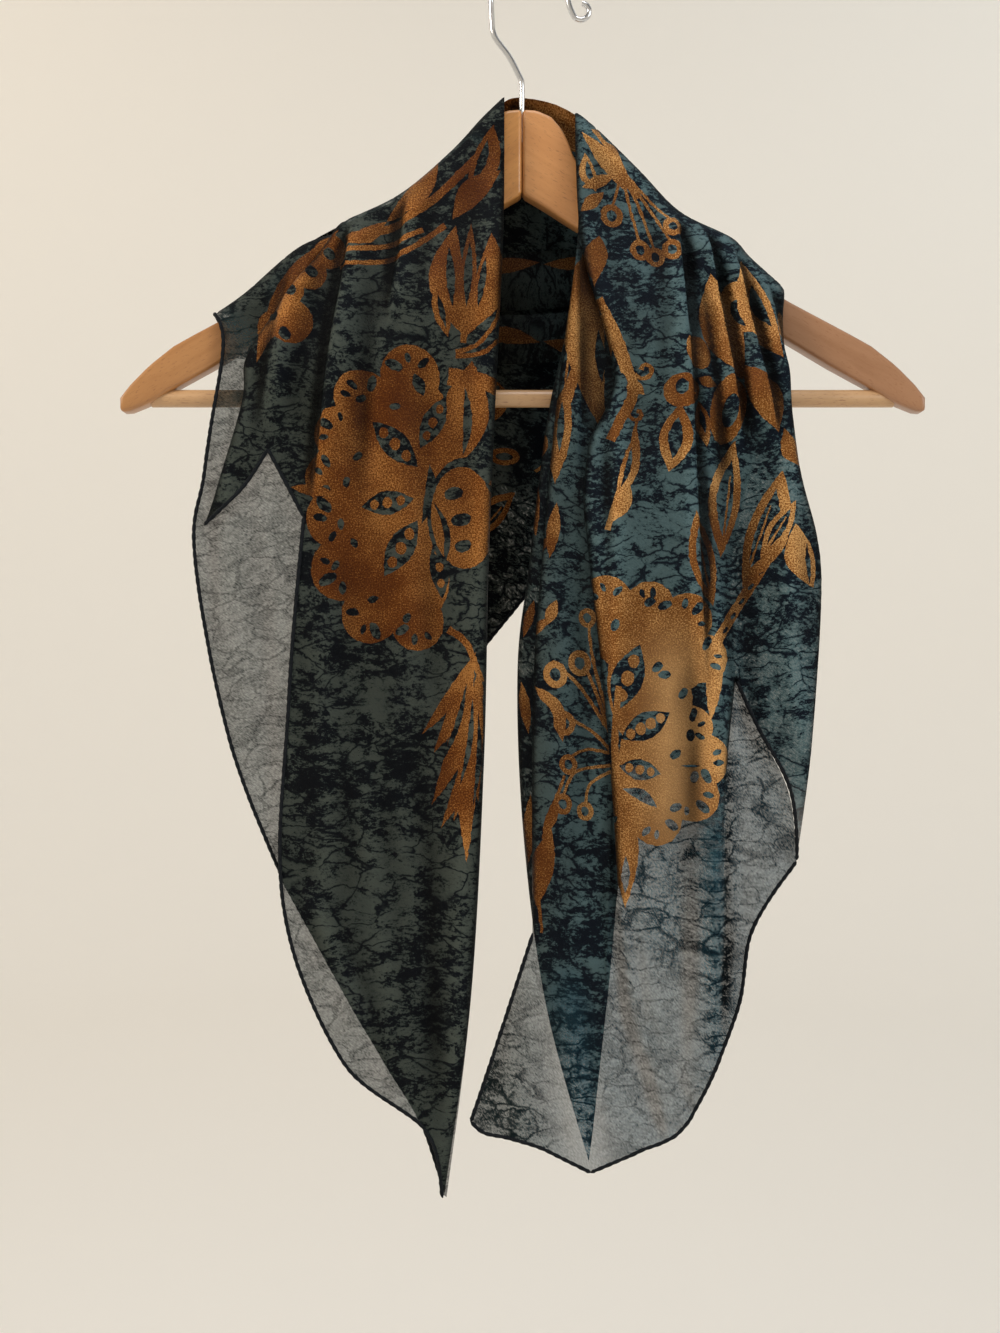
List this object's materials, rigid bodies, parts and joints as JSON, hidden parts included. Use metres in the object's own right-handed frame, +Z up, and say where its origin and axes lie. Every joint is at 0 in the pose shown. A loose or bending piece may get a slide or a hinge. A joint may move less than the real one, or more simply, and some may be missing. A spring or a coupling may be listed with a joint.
{
  "type": "chiffon scarf on wooden hanger",
  "caption": "Square floral chiffon scarf folded on its diagonal and hung like a shawl over a contoured wooden hanger with a trouser bar and a wire hook.",
  "frame": {"origin": "inside top of the wire hook, where a rail or peg holds it", "axes": "+Z up along the hang, -Y towards the front where the tails hang, +X to the viewer's right"},
  "size_m": [0.434, 0.0798, 0.6752],
  "materials": {
    "chiffon": "sheer crepe chiffon, mottled dark teal with a copper floral print",
    "beech": "satin clear varnish",
    "pale_beech": "satin clear varnish",
    "chrome": "polished wire"
  },
  "bodies": {
    "root": {"left_tail_over": "chiffon", "left_tail_under": "chiffon", "right_tail_front": "chiffon", "right_tail_under": "chiffon", "right_tail_pleat": "chiffon", "neck_roll_upper": "chiffon", "neck_roll_lower": "chiffon", "back_panel": "chiffon", "hanger_arm_left": "beech", "hanger_arm_right": "beech", "hanger_bar": "pale_beech", "hanger_hook": "chrome"}
  },
  "joints": []
}
